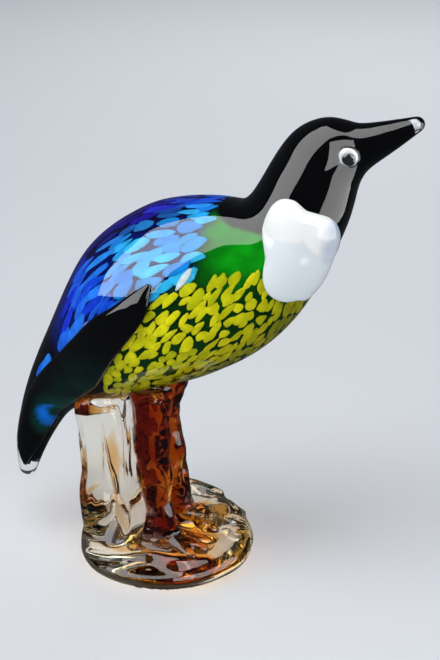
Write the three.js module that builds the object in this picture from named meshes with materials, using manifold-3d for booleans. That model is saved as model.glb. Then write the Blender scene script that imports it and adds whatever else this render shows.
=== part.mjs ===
// A hot-worked glass bird on a clear glass rock, in millimetres.
// +Z is up, +X is the way the beak points and the bird's right side is -Y.
// The origin is the middle of the flat underside.
import * as THREE from "three";
import { mergeVertices } from "three/addons/utils/BufferGeometryUtils.js";
import Module from "manifold-3d";

const wasm = await Module();
wasm.setup();

// Driving dimensions of the bird
const BIRD_LENGTH = 288; // beak tip to tail tip, in a straight line
const EYE_RADIUS = 4.6;
const EYE_RISE = 1.7; // how far the eye stands out of the head
const PUPIL_RADIUS = 2.6;
const PUPIL_RISE = 1.1; // how far the pupil stands out of the eye
const CHEEK_THICKNESS = 3.6;
const WING_THICKNESS = 2.4;
const GLASS_GAP = 0.3; // between one gather of glass and the next

// Driving dimensions of the clear rock
const ROCK_LENGTH = 88; // along X, at the fullest
const ROCK_WIDTH = 83; // along Y, at the fullest
const ROCK_PLATE = 16; // the height that the feet stand at
const ROCK_BELLY = 8; // the height of the fullest part
const UNDERSIDE_SHARE = 0.8; // flat underside against the fullest part

// Legs
const LEG_APART = 22; // middle of one leg to middle of the other
const TOE_LENGTH = 26;
const TOE_HALF = 3.4;
const LEFT_KNEE_BACK = 3.2; // the left knee is pinched further back than the right

// Cross-sections of the bird from beak to tail, in hundredths of its length:
// x, and z above the plate, of the middle; half the height and half the width across the spine;
// and the way the spine leans there, in degrees
const SECTIONS = [
  { name: "beak end", x: 41.8, z: 77.4, high: 1.2, wide: 1.2, lean: -151 },
  { name: "beak middle", x: 38.3, z: 75.5, high: 2.2, wide: 2.0, lean: -151 },
  { name: "beak root", x: 34.0, z: 73.4, high: 3.4, wide: 3.1, lean: -152 },
  { name: "face", x: 32.2, z: 72.9, high: 4.4, wide: 3.8, lean: -152 },
  { name: "brow", x: 30.1, z: 72.0, high: 5.8, wide: 5.0, lean: -147 },
  { name: "crown", x: 27.7, z: 70.0, high: 6.9, wide: 6.0, lean: -133 },
  { name: "nape", x: 26.0, z: 66.9, high: 7.3, wide: 6.3, lean: -120 },
  { name: "neck", x: 24.6, z: 63.5, high: 7.7, wide: 6.8, lean: -116 },
  { name: "collar", x: 22.6, z: 59.2, high: 8.1, wide: 7.1, lean: -121 },
  { name: "shoulder", x: 20.2, z: 55.3, high: 9.2, wide: 7.9, lean: -133 },
  { name: "breast", x: 16.6, z: 52.4, high: 11.6, wide: 9.7, lean: -143 },
  { name: "back", x: 11.9, z: 49.6, high: 13.7, wide: 11.5, lean: -147 },
  { name: "middle", x: 6.0, z: 46.6, high: 15.0, wide: 12.6, lean: -147 },
  { name: "belly", x: 0.5, z: 43.2, high: 14.9, wide: 12.5, lean: -146 },
  { name: "hip", x: -5.1, z: 39.3, high: 13.6, wide: 11.4, lean: -144 },
  { name: "rump", x: -9.8, z: 34.4, high: 11.2, wide: 9.5, lean: -141 },
  { name: "vent", x: -13.6, z: 30.1, high: 8.8, wide: 7.5, lean: -135 },
  { name: "tail root", x: -17.1, z: 26.3, high: 6.7, wide: 5.8, lean: -125 },
  { name: "tail", x: -20.9, z: 21.9, high: 4.5, wide: 3.8, lean: -116 },
  { name: "tail bend", x: -23.3, z: 16.7, high: 3.5, wide: 2.9, lean: -111 },
  { name: "tail fall", x: -25.0, z: 11.7, high: 2.7, wide: 2.2, lean: -105 },
  { name: "tail end", x: -25.8, z: 7.0, high: 1.6, wide: 1.5, lean: -100 },
];
const BIRD_SIDES = 26;
const BIRD_RINGS = 46;
const END_RINGS = 2; // rings that round each end off

// The right wing as a strip of the skin: share of the way to the tail, middle and half width in degrees
const WING_SECTIONS = [
  { at: 0.575, turn: 71, half: 1 },
  { at: 0.6, turn: 79, half: 8 },
  { at: 0.64, turn: 85, half: 12 },
  { at: 0.69, turn: 89, half: 18 },
  { at: 0.74, turn: 92, half: 25 },
  { at: 0.79, turn: 91, half: 31 },
  { at: 0.84, turn: 92, half: 41 },
  { at: 0.89, turn: 94, half: 48 },
  { at: 0.93, turn: 93, half: 42 },
  { at: 0.965, turn: 92, half: 12 },
];
const WING_RINGS = 22;
const WING_SIDES = 10;
const WING_ROOT = 1.2; // how deep the strip starts under the skin
const WING_EDGE = 0.6; // under 1 gives the strip a fuller edge

// The right cheek patch: its middle on the skin, and its reach from there in millimetres at
// equal angles, from the tail side round by the throat and the beak side to the nape
const CHEEK_AT = 0.383;
const CHEEK_TURN = 118;
const CHEEK_REACH = [20.5, 21, 26, 24.4, 22, 22.3, 19.6, 20.3, 19.7, 20.5, 24.5, 23, 19.2, 16, 14.4, 15.6];
const CHEEK_SIDES = 28;
const CHEEK_RINGS = [1, 0.97, 0.88, 0.68, 0.38];
const CHEEK_ROOT = 1.4; // how deep the patch starts under the skin
const CHEEK_FULLNESS = 6; // a higher power gives the pad a flatter face and a rounder edge
const NECK_RADIUS = 22; // the neck that the patch lies round

// The right eye on the head, and its pupil set forward and down in it
const EYE_AT = 0.15;
const EYE_TURN = 98;
const PUPIL_AHEAD = 0.9;
const PUPIL_DOWN = 0.5;
const BEAD_SIDES = 14;
const BEAD_RINGS = 6;

// Upright sections of the right leg from the belly down: height, middle along X, half length, half width
const LEG_SECTIONS = [
  { z: 106, x: -2.2, long: 10.6, wide: 7.8 },
  { z: 96, x: -2.2, long: 11.2, wide: 8.4 },
  { z: 85, x: -1.9, long: 10.2, wide: 7.8 },
  { z: 74, x: -2, long: 9.6, wide: 7.4 },
  { z: 62, x: -1.6, long: 9.2, wide: 7.2 },
  { z: 47, x: 0.1, long: 8.1, wide: 6.8 },
  { z: 35, x: 1.8, long: 6.9, wide: 6.2 },
  { z: 26, x: 2.4, long: 8.4, wide: 7 },
  { z: 20, x: 2.8, long: 10, wide: 8 },
  { z: 14, x: 2.8, long: 9, wide: 7.4 },
];
const KNEE_HEIGHT = 74;
const LEG_SIDES = 18;
const LEG_RINGS = 14;
const TOE_ANGLES = [-30, -8, 14]; // from straight ahead, outer toe first
const TOE_SIDES = 10;
const TOE_TIP_HEIGHT = 14.5;
const TOE_ROOT_HEIGHT = 18.5;

// Upright sections of the stump that the tail rests on, from the top down
const STUMP_SECTIONS = [
  { z: 90, x: -31, long: 14.6, wide: 14.6 },
  { z: 79, x: -30.8, long: 14.4, wide: 14.4 },
  { z: 67, x: -29.8, long: 13, wide: 13 },
  { z: 53, x: -29.4, long: 13.3, wide: 13.4 },
  { z: 39, x: -29.5, long: 14.8, wide: 15 },
  { z: 24, x: -27.5, long: 16.8, wide: 18 },
  { z: 8, x: -25, long: 17, wide: 21 },
];
const STUMP_SIDES = 22;
const STUMP_RINGS = 9;
const ROCK_SIDES = 42;

const share = BIRD_LENGTH / 100;
const radians = THREE.MathUtils.degToRad;
const vector = (x, y, z) => new THREE.Vector3(x, y, z);

const middleLine = new THREE.CatmullRomCurve3(
  SECTIONS.map((s) => vector(s.x * share, 0, s.z * share + ROCK_PLATE)),
);
const sizeLine = new THREE.CatmullRomCurve3(
  SECTIONS.map((s) => vector(s.high * share, s.wide * share, 0)),
);
const leanLine = new THREE.CatmullRomCurve3(SECTIONS.map((s) => vector(s.lean, 0, 0)));
const spineLength = middleLine.getLength();

// The bird's cross-section at t, from 0 at the beak to 1 at the tail
function section(t) {
  const middle = middleLine.getPoint(t);
  const lean = radians(leanLine.getPoint(t).x);
  const along = vector(Math.cos(lean), 0, Math.sin(lean));
  const back = vector(along.z, 0, -along.x);
  const size = sizeLine.getPoint(t);
  return { middle, along, back, high: size.x, wide: size.y };
}

// A point of the bird's skin: turn is 0 on the back, a quarter turn on the right flank
function skinPoint(t, turn, lift) {
  const s = section(t);
  return s.middle
    .clone()
    .addScaledVector(s.back, (s.high + lift) * Math.cos(turn))
    .addScaledVector(vector(0, -1, 0), (s.wide + lift) * Math.sin(turn));
}

// A closed skin through rings of equal count, with a pole at each end
function skin(rings, firstPole, lastPole) {
  const count = rings[0].length;
  const points = [firstPole, ...rings.flat(), lastPole];
  const last = points.length - 1;
  const top = 1 + (rings.length - 1) * count;
  const index = [];
  for (let k = 0; k < count; k++) {
    const next = (k + 1) % count;
    index.push(0, 1 + k, 1 + next);
    for (let r = 0; r + 1 < rings.length; r++) {
      const a = 1 + r * count + k;
      const b = 1 + r * count + next;
      index.push(a, a + count, b, b, a + count, b + count);
    }
    index.push(last, top + next, top + k);
  }
  return solidOf(new THREE.BufferGeometry().setFromPoints(points).setIndex(index));
}

// A closed geometry as a solid, turned to face outwards
function solidOf(geometry) {
  const merged = mergeVertices(geometry, 1e-4);
  const triVerts = new Uint32Array(merged.index.array);
  const vertProperties = merged.attributes.position.array;
  const make = () => new wasm.Manifold(new wasm.Mesh({ numProp: 3, vertProperties, triVerts }));
  const made = make();
  if (made.volume() > 0) return made;
  for (let i = 0; i < triVerts.length; i += 3) {
    [triVerts[i + 1], triVerts[i + 2]] = [triVerts[i + 2], triVerts[i + 1]];
  }
  return make();
}

// A solid as a named mesh with its own material
function meshOf(name, solid, look) {
  const made = solid.getMesh();
  const geometry = new THREE.BufferGeometry();
  geometry.setAttribute("position", new THREE.BufferAttribute(new Float32Array(made.vertProperties), 3));
  geometry.setIndex(new THREE.BufferAttribute(new Uint32Array(made.triVerts), 1));
  geometry.computeVertexNormals();
  const mesh = new THREE.Mesh(geometry, new THREE.MeshStandardMaterial(look));
  mesh.name = name;
  return mesh;
}

// A ring of points on an ellipse round a middle, across two directions
function ellipse(middle, across, up, halfAcross, halfUp, sides) {
  const points = [];
  for (let k = 0; k < sides; k++) {
    const angle = (2 * Math.PI * k) / sides;
    points.push(
      middle
        .clone()
        .addScaledVector(across, halfAcross * Math.cos(angle))
        .addScaledVector(up, halfUp * Math.sin(angle)),
    );
  }
  return points;
}

// The same body for the left side
function mirrored(solid) {
  return solid.mirror([0, 1, 0]);
}

// The whole bird as one gather of glass, with its skin raised by lift
function birdSolid(lift) {
  const rings = [];
  const ring = (t, shrink, ahead) => {
    const s = section(t);
    const middle = s.middle.clone().addScaledVector(s.along, ahead);
    const high = (s.high + lift) * shrink;
    const wide = (s.wide + lift) * shrink;
    return ellipse(middle, s.back, vector(0, -1, 0), high, wide, BIRD_SIDES);
  };
  const endRing = (t, sign, k) => {
    const angle = (Math.PI / 2) * (k / (END_RINGS + 1));
    const reach = section(t).high + lift;
    return ring(t, Math.cos(angle), sign * reach * Math.sin(angle));
  };
  for (let k = END_RINGS; k > 0; k--) rings.push(endRing(0, -1, k));
  for (let r = 0; r <= BIRD_RINGS; r++) rings.push(ring(r / BIRD_RINGS, 1, 0));
  for (let k = 1; k <= END_RINGS; k++) rings.push(endRing(1, 1, k));
  const pole = (t, sign) => {
    const s = section(t);
    return s.middle.clone().addScaledVector(s.along, sign * (s.high + lift));
  };
  return skin(rings, pole(0, -1), pole(1, 1));
}

// A wing: a strip of the skin with a rounded top, laid on the flank
function wingSolid() {
  const line = new THREE.CatmullRomCurve3(WING_SECTIONS.map((s) => vector(s.at, s.turn / 100, s.half / 100)));
  const place = (u) => {
    const p = line.getPoint(u);
    return { at: p.x, turn: radians(p.y * 100), half: radians(p.z * 100) };
  };
  const rings = [];
  for (let r = 0; r <= WING_RINGS; r++) {
    const u = r / WING_RINGS;
    const s = place(u);
    const fade = Math.sin(Math.PI * Math.min(0.5, 0.08 + 4 * Math.min(u, 1 - u)));
    const points = [];
    for (let k = 0; k < WING_SIDES; k++) {
      const angle = (2 * Math.PI * (k + 0.5)) / WING_SIDES;
      const rise = Math.sin(angle);
      const lift = rise > 0 ? WING_THICKNESS * fade * rise ** WING_EDGE : WING_ROOT * rise;
      points.push(skinPoint(s.at, s.turn + s.half * Math.cos(angle), lift));
    }
    rings.push(points);
  }
  const first = place(0);
  const last = place(1);
  return skin(rings, skinPoint(first.at, first.turn, 0), skinPoint(last.at, last.turn, 0));
}

// A cheek: a pad of white glass with a lobed outline and a rounded edge
function cheekSolid() {
  const count = CHEEK_REACH.length;
  const outline = new THREE.CatmullRomCurve3(
    CHEEK_REACH.map((reach, k) => {
      const angle = (2 * Math.PI * k) / count;
      return vector(reach * Math.cos(angle), reach * Math.sin(angle), 0);
    }),
    true,
  );
  const point = (p, grow, lift) =>
    skinPoint(CHEEK_AT + (p.x * grow) / spineLength, radians(CHEEK_TURN) + (p.y * grow) / NECK_RADIUS, lift);
  const middle = vector(0, 0, 0);
  const ring = (grow, lift) => {
    const points = [];
    for (let k = 0; k < CHEEK_SIDES; k++) points.push(point(outline.getPoint(k / CHEEK_SIDES), grow, lift));
    return points;
  };
  const rings = [ring(0.6, -CHEEK_ROOT), ring(0.95, -CHEEK_ROOT)];
  for (const grow of CHEEK_RINGS) rings.push(ring(grow, CHEEK_THICKNESS * (1 - grow ** CHEEK_FULLNESS) ** 0.5));
  return skin(rings, point(middle, 0, -CHEEK_ROOT), point(middle, 0, CHEEK_THICKNESS));
}

// A flattened bead with its middle on a surface, grown all round by grow
function bead(middle, outward, radius, rise, grow) {
  const across = vector(0, 0, 1).cross(outward).normalize();
  const up = outward.clone().cross(across);
  const rings = [];
  for (let r = 1; r < BEAD_RINGS; r++) {
    const angle = (Math.PI * r) / BEAD_RINGS;
    const centre = middle.clone().addScaledVector(outward, -(rise + grow) * Math.cos(angle));
    const half = (radius + grow) * Math.sin(angle);
    rings.push(ellipse(centre, across, up, half, half, BEAD_SIDES));
  }
  const pole = (sign) => middle.clone().addScaledVector(outward, sign * (rise + grow));
  return skin(rings, pole(-1), pole(1));
}

// A body through upright sections, widened all round by grow
function upright(sections, y, knee, sides, rings, grow) {
  const line = new THREE.CatmullRomCurve3(sections.map((s) => vector(s.x, s.long, s.z)));
  const widths = new THREE.CatmullRomCurve3(sections.map((s) => vector(s.wide, 0, 0)), false, "catmullrom");
  const made = [];
  for (let r = 0; r <= rings; r++) {
    const p = line.getPoint(r / rings);
    const wide = widths.getPoint(r / rings).x;
    const pinch = knee * Math.exp(-(((p.z - KNEE_HEIGHT) / 14) ** 2));
    const middle = vector(p.x - pinch, y, p.z + (r === 0 ? grow : r === rings ? -grow : 0));
    made.push(ellipse(middle, vector(1, 0, 0), vector(0, 1, 0), p.y + grow - pinch / 3, wide + grow, sides));
  }
  const pole = (ring) => ring.reduce((sum, p) => sum.add(p), vector(0, 0, 0)).divideScalar(sides);
  return skin(made, pole(made[0]), pole(made[rings]));
}

// A toe: a tapering bar with round ends, from the foot to its tip
function toe(root, tip, grow) {
  const along = tip.clone().sub(root).normalize();
  const across = vector(0, 0, 1).cross(along).normalize();
  const up = along.clone().cross(across);
  const rings = [];
  for (const [go, size] of [[0, 1], [0.4, 1.04], [0.7, 0.98], [0.9, 0.78], [0.98, 0.45]]) {
    const half = TOE_HALF * size + grow;
    rings.push(ellipse(root.clone().lerp(tip, go), across, up, half, half, TOE_SIDES));
  }
  return skin(rings, root.clone().addScaledVector(along, -grow), tip.clone().addScaledVector(along, grow));
}

// A leg with its foot, on the side that sign gives, grown all round by grow
function legSolid(sign, knee, grow) {
  const y = (sign * LEG_APART) / 2;
  const foot = LEG_SECTIONS[LEG_SECTIONS.length - 2];
  let leg = upright(LEG_SECTIONS, y, knee, LEG_SIDES, LEG_RINGS, grow);
  for (const degrees of TOE_ANGLES) {
    const turn = radians(-sign * degrees);
    const root = vector(foot.x, y, TOE_ROOT_HEIGHT);
    const tip = vector(foot.x + TOE_LENGTH * Math.cos(turn), y + TOE_LENGTH * Math.sin(turn), TOE_TIP_HEIGHT);
    leg = leg.add(toe(root, tip, grow));
  }
  return leg;
}

// The height of the rock's top at a place on it
function rockTop(x, y) {
  const hump = (cx, cy, rx, ry) => Math.exp(-(((x - cx) / rx) ** 2) - ((y - cy) / ry) ** 2);
  const slope = ROCK_PLATE - 0.6 + 0.12 * y;
  const shoulder = 7.5 * hump(-3, 30, 13, 11);
  const ankles = 2.6 * (hump(2, LEG_APART / 2, 12, 9) + hump(2, -LEG_APART / 2, 12, 9));
  const far = Math.hypot(x - 2, y - 4);
  const turn = Math.atan2(y - 4, x - 2);
  const brim = 3.2 * hump(27, 28, 13, 15);
  const fan = Math.exp(-(((turn - 0.7) / 0.75) ** 2)) * Math.exp(-(((far - 25) / 11) ** 2));
  return slope + shoulder + ankles + brim + 1.3 * fan * Math.cos(9 * turn);
}

// The clear rock's plate: a pebble with a flat underside
function plateSolid() {
  const halfLong = ROCK_LENGTH / 2;
  const halfWide = ROCK_WIDTH / 2;
  const ring = (grow, height) => {
    const points = [];
    for (let k = 0; k < ROCK_SIDES; k++) {
      const angle = (2 * Math.PI * k) / ROCK_SIDES;
      const uneven = 1 + 0.012 * Math.sin(3 * angle + 1) + 0.008 * Math.sin(5 * angle);
      const x = halfLong * grow * uneven * Math.cos(angle);
      const y = halfWide * grow * uneven * Math.sin(angle);
      points.push(vector(x, y, height(x, y)));
    }
    return points;
  };
  const rings = [ring(UNDERSIDE_SHARE, () => 0)];
  for (const [grow, rise] of [[0.9, 0.18], [0.97, 0.52], [1, 1]]) rings.push(ring(grow, () => ROCK_BELLY * rise));
  for (const angle of [30, 52, 70, 84]) {
    const grow = 0.84 + 0.16 * Math.cos(radians(angle));
    const rise = Math.sin(radians(angle));
    rings.push(ring(grow, (x, y) => ROCK_BELLY + (rockTop(x, y) - ROCK_BELLY) * rise));
  }
  for (const grow of [0.78, 0.66, 0.54, 0.4, 0.22]) rings.push(ring(grow, rockTop));
  return skin(rings, vector(0, 0, 0), vector(0, 0, rockTop(0, 0)));
}

// Every gather of glass, cut clear of its neighbours
const grownBird = birdSolid(GLASS_GAP);
const wingRight = wingSolid().subtract(grownBird);
const cheekRight = cheekSolid().subtract(grownBird);
const headSection = section(EYE_AT);
const eyeOut = headSection.back
  .clone()
  .multiplyScalar(Math.cos(radians(EYE_TURN)) / headSection.high)
  .addScaledVector(vector(0, -1, 0), Math.sin(radians(EYE_TURN)) / headSection.wide)
  .normalize();
const eyeMiddle = skinPoint(EYE_AT, radians(EYE_TURN), 0);
const pupilMiddle = eyeMiddle
  .clone()
  .addScaledVector(eyeOut, EYE_RISE)
  .addScaledVector(headSection.along, -PUPIL_AHEAD)
  .addScaledVector(headSection.back, -PUPIL_DOWN);
const pupilRight = bead(pupilMiddle, eyeOut, PUPIL_RADIUS, PUPIL_RISE, 0);
const pupilSocket = bead(pupilMiddle, eyeOut, PUPIL_RADIUS, PUPIL_RISE, GLASS_GAP);
const eyeRight = bead(eyeMiddle, eyeOut, EYE_RADIUS, EYE_RISE, 0).subtract(pupilSocket);
const eyeSocket = bead(eyeMiddle, eyeOut, EYE_RADIUS, EYE_RISE, GLASS_GAP);
const bird = birdSolid(0).subtract(eyeSocket).subtract(mirrored(eyeSocket));
const legRight = legSolid(-1, 0, 0).subtract(grownBird);
const legLeft = legSolid(1, LEFT_KNEE_BACK, 0).subtract(grownBird);
const rock = plateSolid()
  .add(upright(STUMP_SECTIONS, 0, 0, STUMP_SIDES, STUMP_RINGS, 0))
  .subtract(grownBird)
  .subtract(legSolid(-1, 0, GLASS_GAP))
  .subtract(legSolid(1, LEFT_KNEE_BACK, GLASS_GAP));

const blackGlass = { color: "#0b0d12", roughness: 0.08, metalness: 0 };
const wingGlass = { color: "#07080b", roughness: 0.06, metalness: 0 };
const whiteGlass = { color: "#f1f2f0", roughness: 0.12, metalness: 0 };
const eyeGlass = { color: "#dfe3e2", roughness: 0.1, metalness: 0 };
const pupilGlass = { color: "#2a2c30", roughness: 0.05, metalness: 0 };
const amberGlass = { color: "#8a3407", roughness: 0.05, metalness: 0 };
const clearGlass = { color: "#eef3f4", roughness: 0.03, metalness: 0 };

const figurine = new THREE.Group();
figurine.add(meshOf("bird", bird, blackGlass));
figurine.add(meshOf("wing_right", wingRight, wingGlass));
figurine.add(meshOf("wing_left", mirrored(wingRight), wingGlass));
figurine.add(meshOf("cheek_right", cheekRight, whiteGlass));
figurine.add(meshOf("cheek_left", mirrored(cheekRight), whiteGlass));
figurine.add(meshOf("eye_right", eyeRight, eyeGlass));
figurine.add(meshOf("eye_left", mirrored(eyeRight), eyeGlass));
figurine.add(meshOf("pupil_right", pupilRight, pupilGlass));
figurine.add(meshOf("pupil_left", mirrored(pupilRight), pupilGlass));
figurine.add(meshOf("leg_right", legRight, amberGlass));
figurine.add(meshOf("leg_left", legLeft, amberGlass));
figurine.add(meshOf("rock", rock, clearGlass));

export default figurine;
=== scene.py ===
# A hot-worked glass bird on a clear glass rock. Metres, +Z up, +X the way the beak points.
import math
import random

import bpy
from mathutils import Matrix, Vector, noise


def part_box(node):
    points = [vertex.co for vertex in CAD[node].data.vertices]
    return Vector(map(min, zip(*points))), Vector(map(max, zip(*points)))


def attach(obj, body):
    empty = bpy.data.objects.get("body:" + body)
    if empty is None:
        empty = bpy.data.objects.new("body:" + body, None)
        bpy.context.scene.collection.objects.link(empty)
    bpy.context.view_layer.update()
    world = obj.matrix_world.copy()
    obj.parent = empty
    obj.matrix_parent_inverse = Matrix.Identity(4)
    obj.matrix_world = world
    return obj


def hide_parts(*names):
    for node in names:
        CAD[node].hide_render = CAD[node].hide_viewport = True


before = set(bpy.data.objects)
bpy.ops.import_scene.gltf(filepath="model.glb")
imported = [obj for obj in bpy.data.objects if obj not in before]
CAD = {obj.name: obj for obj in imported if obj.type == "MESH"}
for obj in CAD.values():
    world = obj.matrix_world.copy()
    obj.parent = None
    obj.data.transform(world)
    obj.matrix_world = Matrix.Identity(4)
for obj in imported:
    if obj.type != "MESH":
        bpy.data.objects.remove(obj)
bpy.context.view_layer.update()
MM = 0.001
# Corners closer than this are one corner
SAME_PLACE = 1e-6
TINT = "tint"

# Cross-sections of the bird from beak to tail, as the solid has them: x, z above the feet, half height
# and half width in shares of the length, and the lean of the spine in degrees
BIRD_SHARE = 2.88
FEET_HEIGHT = 16
SECTIONS = [
    (41.8, 77.4, 1.2, 1.2, -151),  # beak end
    (38.3, 75.5, 2.2, 2.0, -151),  # beak middle
    (34.0, 73.4, 3.4, 3.1, -152),  # beak root
    (32.2, 72.9, 4.4, 3.8, -152),  # face
    (30.1, 72.0, 5.8, 5.0, -147),  # brow
    (27.7, 70.0, 6.9, 6.0, -133),  # crown
    (26.0, 66.9, 7.3, 6.3, -120),  # nape
    (24.6, 63.5, 7.7, 6.8, -116),  # neck
    (22.6, 59.2, 8.1, 7.1, -121),  # collar
    (20.2, 55.3, 9.2, 7.9, -133),  # shoulder
    (16.6, 52.4, 11.6, 9.7, -143),  # breast
    (11.9, 49.6, 13.7, 11.5, -147),  # back
    (6.0, 46.6, 15.0, 12.6, -147),  # middle
    (0.5, 43.2, 14.9, 12.5, -146),  # belly
    (-5.1, 39.3, 13.6, 11.4, -144),  # hip
    (-9.8, 34.4, 11.2, 9.5, -141),  # rump
    (-13.6, 30.1, 8.8, 7.5, -135),  # vent
    (-17.1, 26.3, 6.7, 5.8, -125),  # tail root
    (-20.9, 21.9, 4.5, 3.8, -116),  # tail
    (-23.3, 16.7, 3.5, 2.9, -111),  # tail bend
    (-25.0, 11.7, 2.7, 2.2, -105),  # tail fall
    (-25.8, 7.0, 1.6, 1.5, -100),  # tail end
]
# The spine's own length in millimetres, and the places along it at which the skin is worked out
SPINE_LENGTH = 293.5
STATIONS = 500


# Curves and the bird's skin
def curve_at(points, u):
    """A smooth curve through the points, at u from 0 to 1."""
    last = len(points) - 1
    place = min(last * u, last - 1e-9)
    k = int(place)
    w = place - k
    p1, p2 = points[k], points[k + 1]
    p0 = points[k - 1] if k else p1 * 2 - p2
    p3 = points[k + 2] if k + 2 <= last else p2 * 2 - p1
    gaps = [math.sqrt((b - a).length) for a, b in ((p0, p1), (p1, p2), (p2, p3))]
    least = 1e-4
    d1 = gaps[1] if gaps[1] > least else 1.0
    d0 = gaps[0] if gaps[0] > least else d1
    d2 = gaps[2] if gaps[2] > least else d1
    start = ((p1 - p0) / d0 - (p2 - p0) / (d0 + d1) + (p2 - p1) / d1) * d1
    end = ((p2 - p1) / d1 - (p3 - p1) / (d1 + d2) + (p3 - p2) / d2) * d1
    square = -3 * p1 + 3 * p2 - 2 * start - end
    cube = 2 * p1 - 2 * p2 + start + end
    return p1 + start * w + square * w**2 + cube * w**3


MIDDLES = [Vector((x * BIRD_SHARE, 0, z * BIRD_SHARE + FEET_HEIGHT)) for x, z, _, _, _ in SECTIONS]
SIZES = [Vector((high * BIRD_SHARE, wide * BIRD_SHARE, 0)) for _, _, high, wide, _ in SECTIONS]
LEANS = [Vector((lean, 0, 0)) for _, _, _, _, lean in SECTIONS]


def section(t):
    """Middle, lean in radians, half height and half width in millimetres at t: 0 is the beak, 1 the tail."""
    size = curve_at(SIZES, t)
    return curve_at(MIDDLES, t), math.radians(curve_at(LEANS, t).x), size.x, size.y


SPINE = [section(k / STATIONS) for k in range(STATIONS + 1)]


def on_skin(t, turn, lift):
    """A point of the skin in metres: turn is 0 on the back and a quarter turn on the right flank, and lift
    is in millimetres."""
    place = min(max(t, 0.0), 1.0) * STATIONS
    k = min(int(place), STATIONS - 1)
    w = place - k
    (m0, l0, h0, w0), (m1, l1, h1, w1) = SPINE[k], SPINE[k + 1]
    middle = m0.lerp(m1, w)
    lean = l0 + (l1 - l0) * w
    high = (h0 + (h1 - h0) * w + lift) * math.cos(turn)
    wide = (w0 + (w1 - w0) * w + lift) * math.sin(turn)
    return (middle + Vector((math.sin(lean) * high, -wide, -math.cos(lean) * high))) * MM


# The square of how far out a point still counts as on the bird, as a share of its radius: what is laid on the
# skin stands proud of it
REACH_SQUARED = 1.7


def where_on_bird(point):
    """The share along the spine and the turn of a point in or on the bird."""
    at = point / MM
    best = None
    for k in range(0, STATIONS + 1, 2):
        middle, lean, high, wide = SPINE[k]
        reach = at - middle
        along = reach.x * math.cos(lean) + reach.z * math.sin(lean)
        up = (reach.x * math.sin(lean) - reach.z * math.cos(lean)) / high
        out = -reach.y / wide
        if up * up + out * out < REACH_SQUARED and (best is None or abs(along) < best[0]):
            best = (abs(along), k / STATIONS + along / SPINE_LENGTH, math.atan2(out, up))
    return (best[1], best[2]) if best else (0.0, 0.0)


# The body's mean radius as a share of its half height, and the least it is taken to be, in millimetres
MEAN_RADIUS = 0.92
LEAST_RADIUS = 6


def body_radius(t):
    """The mean radius at t in millimetres, by which a distance round the body becomes a turn."""
    return max(SPINE[int(t * STATIONS)][2] * MEAN_RADIUS, LEAST_RADIUS)


# Modelling
def alone(piece):
    """Selects one piece and nothing else."""
    bpy.ops.object.select_all(action="DESELECT")
    piece.select_set(True)
    bpy.context.view_layer.objects.active = piece
    return piece


def call_it(piece, name):
    """Names a piece and its mesh alike."""
    piece.name = piece.data.name = name
    return piece


def settle(piece):
    """Puts the piece's place, turn and size into its mesh."""
    alone(piece)
    bpy.ops.object.transform_apply(location=True, rotation=True, scale=True)
    return piece


def finish_with(piece, kind, **settings):
    """Adds a modifier and applies it."""
    alone(piece)
    modifier = piece.modifiers.new(kind.title(), kind)
    for key, value in settings.items():
        setattr(modifier, key, value)
    bpy.ops.object.modifier_apply(modifier=modifier.name)
    return piece


def subdivided(piece, levels):
    return finish_with(piece, "SUBSURF", levels=levels, render_levels=levels)


def melted(piece, voxel):
    """Melts all the piece's shells into one skin, of facets as wide as the voxel in millimetres."""
    return finish_with(piece, "REMESH", mode="VOXEL", voxel_size=voxel * MM, adaptivity=0.0)


def relaxed(piece, rounds):
    """Eases the skin as glass does in the flame."""
    return finish_with(piece, "SMOOTH", factor=0.5, iterations=rounds)


def smooth_shade(piece):
    alone(piece)
    bpy.ops.object.shade_smooth()
    return piece


def face_outwards(piece):
    """Merges doubled corners, then turns every face outwards."""
    alone(piece)
    bpy.ops.object.mode_set(mode="EDIT")
    bpy.ops.mesh.select_all(action="SELECT")
    bpy.ops.mesh.remove_doubles(threshold=SAME_PLACE)
    bpy.ops.mesh.normals_make_consistent(inside=False)
    bpy.ops.object.mode_set(mode="OBJECT")
    return piece


def resized(piece, value, **about):
    """Stretches the whole mesh in edit mode."""
    alone(piece)
    bpy.ops.object.mode_set(mode="EDIT")
    bpy.ops.mesh.select_all(action="SELECT")
    bpy.ops.transform.resize(value=value, **about)
    bpy.ops.object.mode_set(mode="OBJECT")
    return piece


def joined(pieces, name):
    """Several pieces as one."""
    bpy.ops.object.select_all(action="DESELECT")
    for piece in pieces:
        piece.select_set(True)
    bpy.context.view_layer.objects.active = pieces[0]
    bpy.ops.object.join()
    return call_it(pieces[0], name)


def twin(piece, name):
    """A copy with its own mesh."""
    other = piece.copy()
    other.data = piece.data.copy()
    bpy.context.collection.objects.link(other)
    return call_it(other, name)


def copy_of(node, name):
    """The CAD node's own shape as a new piece, its loose triangles merged."""
    piece = twin(CAD[node], name)
    piece.parent = None
    piece.data.materials.clear()
    alone(piece)
    bpy.ops.object.mode_set(mode="EDIT")
    bpy.ops.mesh.select_all(action="SELECT")
    bpy.ops.mesh.remove_doubles(threshold=SAME_PLACE)
    bpy.ops.object.mode_set(mode="OBJECT")
    return piece


def mirrored(piece, name):
    """A copy for the left side."""
    other = twin(piece, name)
    other.scale.y = -1
    return face_outwards(settle(other))


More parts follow.
